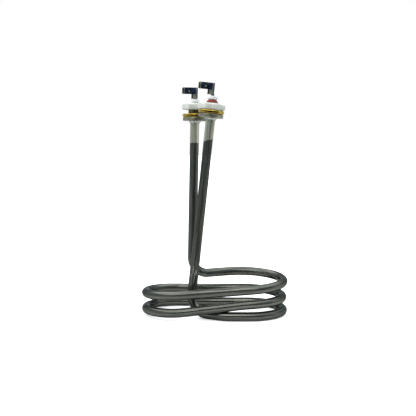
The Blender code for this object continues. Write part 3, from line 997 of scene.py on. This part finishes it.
    def ceramic(self) -> Object:
        """Ceramic bush with a rounded head."""
        bore = self.pin_diameter / 2 + CLEARANCE
        neck = self.neck_diameter / 2
        head = self.leg.head_diameter / 2
        low = self.head_foot()
        high = low + self.leg.head_height
        rim, under = head - self.collar[0], low - self.collar[1]
        section = [(bore, self.neck_base), (neck, self.neck_base), (neck, under)]
        lower, upper = self.head_rounding
        section += corner(rim, under, self.collar_rounding, 1, -1, 3) + [(rim, low)]
        section += corner(head, low, lower, 1, -1) + corner(head, high, upper, 1, 1)
        section += corner(bore, high, self.head_bore_rounding, -1, 1, 3)
        return turn(section, 64)

    def pin(self) -> Object:
        """Round pin, flattened and set over behind the terminal."""
        base = self.bush_top() - self.pin_depth + CLEARANCE
        bend = self.head_foot() + self.leg.head_height
        top = self.terminal_foot() + self.foot_height + self.tab_height - self.pin_shortfall
        deselect_all()
        bpy.ops.mesh.primitive_circle_add(
            vertices=32, radius=self.pin_diameter / 2, fill_type="NGON", location=(0, 0, base)
        )
        obj = bpy.context.object
        edit_all(obj)
        extrude(0, 0, bend - base)
        before = np.array([1.0, 1.0, 0.0])
        widths = np.array(self.pin_flat) / self.pin_diameter
        after = np.array([*widths, self.leg.terminal_shift])
        last = before
        for step in range(1, self.pin_steps + 1):
            share = step / self.pin_steps
            now = before + share * share * (3 - 2 * share) * (after - before)
            extrude(now[2] - last[2], 0, self.foot_height / self.pin_steps)
            centre = (now[2], 0, bend + share * self.foot_height)
            scale_about(centre, (*(now[:2] / last[:2]), 1.0))
            last = now
        extrude(0, 0, top - bend - self.foot_height)
        close_mesh()
        bpy.ops.object.transform_apply()
        bevel(obj, self.pin_rounding, 50)
        return obj

    def terminal(self) -> Object:
        """L-shaped sheet terminal with a coined tip, thinned outer edges and a latching dimple."""
        heel = self.leg.terminal_shift + self.foot_width / 2
        foot, tip = heel - self.foot_width, heel - self.tab_length
        low = self.terminal_foot()
        step = low + self.foot_height
        tab_middle = step + self.tab_height / 2
        back = -(self.pin_diameter / 2 + CLEARANCE)
        front, middle = back - self.sheet, back - self.sheet / 2
        left, right = tip + self.edge_bevel, heel - self.edge_bevel
        deselect_all()
        bpy.ops.mesh.primitive_cube_add(size=1.0)
        obj = bpy.context.object
        edit_all(obj)
        bpy.ops.transform.resize(value=(right - left, self.sheet, self.tab_height))
        bpy.ops.transform.translate(value=((left + right) / 2, middle, tab_middle))
        bpy.ops.mesh.bisect(plane_co=(foot, 0, 0), plane_no=(1, 0, 0))
        pick_faces(obj, lambda face: face.normal.z < -0.9 and face.center.x > foot)
        extrude(0, 0, low - step)
        pick_faces(obj, lambda face: face.normal.x > 0.9)
        extrude(self.edge_bevel, 0, 0)
        scale_about((heel, back, 0), (1, self.heel_thinning, 1))
        pick_faces(obj, lambda face: face.normal.x < -0.9 and face.center.z > step)
        extrude(-self.edge_bevel, 0, 0)
        scale_about((tip, middle, tab_middle), (1, *self.tip_taper))
        bevel(obj, self.sheet_rounding, 20)
        tip_crease = [tip + reach for reach in self.tip_crease]
        heel_crease = [heel - reach for reach in self.heel_crease]
        foot_reflection_end = foot + self.foot_reflection_width
        for cut in (*tip_crease, *heel_crease, foot_reflection_end):
            edit_all(obj)
            bpy.ops.mesh.bisect(plane_co=(cut, 0, 0), plane_no=(1, 0, 0))
        reach = (self.dimple_diameter**2 / 4 + self.dimple_depth**2) / (2 * self.dimple_depth)
        dimple_x = tip + self.dimple_from_tip
        centre = (dimple_x, front + self.dimple_depth - reach, tab_middle)
        deselect_all()
        facets = {"segments": 64, "ring_count": 64}
        bpy.ops.mesh.primitive_uv_sphere_add(**facets, radius=reach, location=centre)
        ball = bpy.context.object
        bpy.ops.object.transform_apply()
        cut_away(obj, ball)

        def painted_light_level(face: bpy.types.MeshPolygon) -> float:
            """0 is whole plating, 0.5 the painted olive reflection on edges, tip and dimple, 0.8
            the foot's partly painted highlight, 1 the painted highlight on the rolled creases.
            """
            x, y, z = face.center
            in_dimple = math.hypot(x - dimple_x, z - tab_middle) < self.dimple_diameter / 2
            in_dimple = in_dimple and front + WELD < y < middle
            if in_dimple or abs(face.normal.y) < 0.995 or x > heel_crease[1]:
                return 0.5
            if z < step:
                return 0.5 if x < foot_reflection_end else 0.8
            if x < tip_crease[0]:
                return 0.5
            return 1.0 if x < tip_crease[1] or x > heel_crease[0] else 0.0

        # Each face's level of painted reflection and painted highlight, read by the terminal's
        # finish
        store(obj, "painted_light", np.array([painted_light_level(face) for face in obj.data.polygons]), "FACE")
        return obj

    def build(self, paints: dict[Slot, Material]) -> None:
        """Builds every fitting and hands it over, with the material of its slot."""
        washer_seat = self.flange_thickness + CLEARANCE
        nut_seat = washer_seat + self.washer_thickness + CLEARANCE + self.leg.nut_stand_off
        plan = [
            ("threaded_bush", self.bush, 0.0, Slot.BUSH, "element"),
            ("braze_ring", self.braze, -CLEARANCE, Slot.BRAZE, "element"),
            ("brass_washer", self.washer, washer_seat, Slot.BRASS, "element"),
            ("nylon_nut", self.nut, nut_seat, Slot.NYLON, f"{self.leg.name}_nut"),
            ("end_seal", self.seal, self.seal_foot(), Slot.SILICONE, "element"),
            ("ceramic_bush", self.ceramic, 0.0, Slot.CERAMIC, "element"),
            ("terminal_pin", self.pin, 0.0, Slot.PIN, "element"),
            ("flag_terminal", self.terminal, 0.0, Slot.TERMINAL, "element"),
        ]
        for piece, make, height, slot, body in plan:
            obj = make()
            node = f"{self.leg.name}_{piece}"
            obj.name = f"{node}_look"
            settle(obj, self.leg.place(height))
            hand_over(obj, node, body, paints[slot])


@dataclass
class Studio:
    """Camera, lamps, floor and world."""

    focal_px: float = 720.0  # in pixels of the photograph
    frame_px: float = 416.0  # the photograph's width
    eye: Triple = (-6.32 * MM, -677.0 * MM, 155.4 * MM)
    pitch: float = math.radians(-4.62)
    floor_size: float = 40.0
    floor_drop: float = 0.02 * MM  # below the lowest turn
    left_wall: float = 0.16  # light from each wall
    right_wall: float = 0.12
    rear_wall: float = 0.4
    ceiling: float = 1.75  # light from above, at the right
    ceiling_left: float = 1.1  # what the left has more
    ambient: Colour = (0.26, 0.35, 0.42)  # light from all sides
    gap_side: float = math.radians(16)  # turn of the dark gap in front, from -Y to +X
    gap_left: float = 0.45  # share of the light that is left in the gap

    aim: Triple = (0.0, 0.0, 0.09)  # what the lamps look at

    # Place, size and power of each lamp
    lamps: tuple[tuple[Triple, Pair, float], ...] = (
        ((-0.3, -0.4, 1.0), (0.8, 0.8), 1.0),
        ((-0.2, -0.8, 0.74), (1.3, 0.1), 2.0),
        ((0.95, 0.0, 0.35), (0.5, 0.6), 0.6),
    )

    def camera(self) -> None:
        """Camera at the photograph's height, distance and pitch."""
        bpy.ops.object.camera_add(location=self.eye, rotation=(math.pi / 2 + self.pitch, 0, 0))
        camera = bpy.context.object
        camera.data.sensor_width = 36.0
        camera.data.sensor_fit = "HORIZONTAL"
        camera.data.lens = camera.data.sensor_width * self.focal_px / self.frame_px
        camera.data.clip_start = 0.01
        camera.data.clip_end = 200.0
        bpy.context.scene.camera = camera

    def light(self) -> None:
        """Soft lamps that look at the middle of the object."""
        aim = Vector(self.aim)
        for place, size, power in self.lamps:
            turned = (aim - Vector(place)).to_track_quat("-Z", "Y").to_euler()
            bpy.ops.object.light_add(type="AREA", location=place, rotation=turned)
            lamp = bpy.context.object.data
            lamp.shape = "RECTANGLE"
            lamp.size, lamp.size_y = size
            lamp.energy = power

    def facing_gap(self, graph: Graph, way: Socket) -> Socket:
        """How far a direction points into the dark gap in front, from -1 to 1."""
        gap = (math.sin(self.gap_side), -math.cos(self.gap_side), 0.0)
        return graph.vector("DOT_PRODUCT", {0: way, 1: gap}, "Value")

    def floor(self) -> None:
        """Floor that shows white to the camera, keeps a soft shadow and is dark in the gap."""
        bpy.ops.mesh.primitive_plane_add(size=self.floor_size, location=(0, 0, -self.floor_drop))
        floor = bpy.context.object
        floor.name = "floor"
        paint = bpy.data.materials.new("floor")
        paint.use_nodes = True
        nodes = paint.node_tree.nodes
        graph = Graph(paint.node_tree)
        nodes.remove(nodes["Principled BSDF"])
        seen = graph.add("ShaderNodeLightPath").outputs["Is Camera Ray"]
        where = graph.coordinates()
        far = graph.ramp(graph.vector("LENGTH", {0: where}, "Value"), 0.08, 0.25)
        facing = self.facing_gap(graph, graph.vector("NORMALIZE", {0: where}))
        dark = graph.maths("MULTIPLY", far, graph.ramp(facing, 0.4, 0.9, 0.55, 1.0))
        strength = graph.maths("MULTIPLY", seen, graph.maths("MULTIPLY_ADD", far, 0.5, 0.55))
        glow = graph.add("ShaderNodeEmission", {"Strength": strength}).outputs[0]
        shade = graph.blend(dark, tone((0.8,) * 3), tone((0.15,) * 3))
        matt = graph.add("ShaderNodeBsdfDiffuse", {"Color": shade}).outputs[0]
        both = graph.add("ShaderNodeAddShader", {0: glow, 1: matt}).outputs[0]
        graph.wire(both, nodes["Material Output"].inputs["Surface"])
        floor.data.materials.append(paint)

    def world(self) -> None:
        """White for the camera, and a dim room with a bright ceiling for what is reflected."""
        world = bpy.data.worlds.new("studio")
        bpy.context.scene.world = world
        world.use_nodes = True
        graph = Graph(world.node_tree)
        rays = graph.add("ShaderNodeLightPath").outputs
        seen = graph.maths("MAXIMUM", rays["Is Camera Ray"], rays["Is Transmission Ray"])
        way = graph.coordinates("Generated")
        parts = graph.parts(way)
        left = graph.ramp(parts["X"], -0.2, -0.85, 0.0, self.left_wall)
        right = graph.ramp(parts["X"], 0.5, 0.98, 0.0, self.right_wall)
        behind = graph.ramp(parts["Y"], 0.1, 0.7, 0.0, self.rear_wall)
        walls = graph.maths("ADD", graph.maths("ADD", left, right), behind)
        room = graph.vector("ADD", {0: self.ambient, 1: walls})
        front = graph.ramp(self.facing_gap(graph, way), 0.72, 0.96, 1.0, self.gap_left)
        dimmed = graph.vector("SCALE", {0: room, "Scale": front})
        brightest = self.ceiling + self.ceiling_left
        overhead = graph.ramp(parts["X"], 0.2, -0.8, self.ceiling, brightest)
        dome = graph.maths("MULTIPLY", graph.ramp(parts["Z"], 0.5, 0.75), overhead)
        light = graph.vector("ADD", {0: dimmed, 1: dome})
        shown = graph.blend(seen, light, tone((1.0, 1.0, 1.0)))
        graph.wire(shown, world.node_tree.nodes["Background"].inputs["Color"])

    def build(self) -> None:
        """Builds the whole studio."""
        deselect_all()
        self.camera()
        self.floor()
        self.world()
        self.light()
        bpy.context.scene.view_settings.view_transform = "Standard"


def main() -> None:
    """Builds the pieces in order; each piece's face count is logged as it is handed over."""
    logging.basicConfig(level=logging.INFO, format="%(message)s")
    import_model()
    tube = HeatingTube()
    coil = tube.coil()
    rear = Leg(
        name="rear",
        lean=math.radians(1.2),
        foot=tuple(coil[0]),
        flange_height=182.8 * MM,
        nut_stand_off=3.5 * MM,
        head_diameter=7.5 * MM,
        head_height=3.2 * MM,
        terminal_shift=-0.7 * MM,
    )
    front = Leg(
        name="front",
        lean=math.radians(6.1),
        foot=tuple(coil[-1]),
        flange_height=184.7 * MM,
        nut_stand_off=0.0,
        head_diameter=9.1 * MM,
        head_height=2.6 * MM,
        terminal_shift=-2.3 * MM,
    )
    effects = Effects()
    paints = {slot: slot.value.build(effects) for slot in Slot}
    swept = tube.build((rear, front))
    hand_over(swept, "heating_tube", "element", paints[Slot.SHEATH])
    for leg in (rear, front):
        Fitting(leg).build(paints)
    Studio().build()


if __name__ == "__main__":
    main()
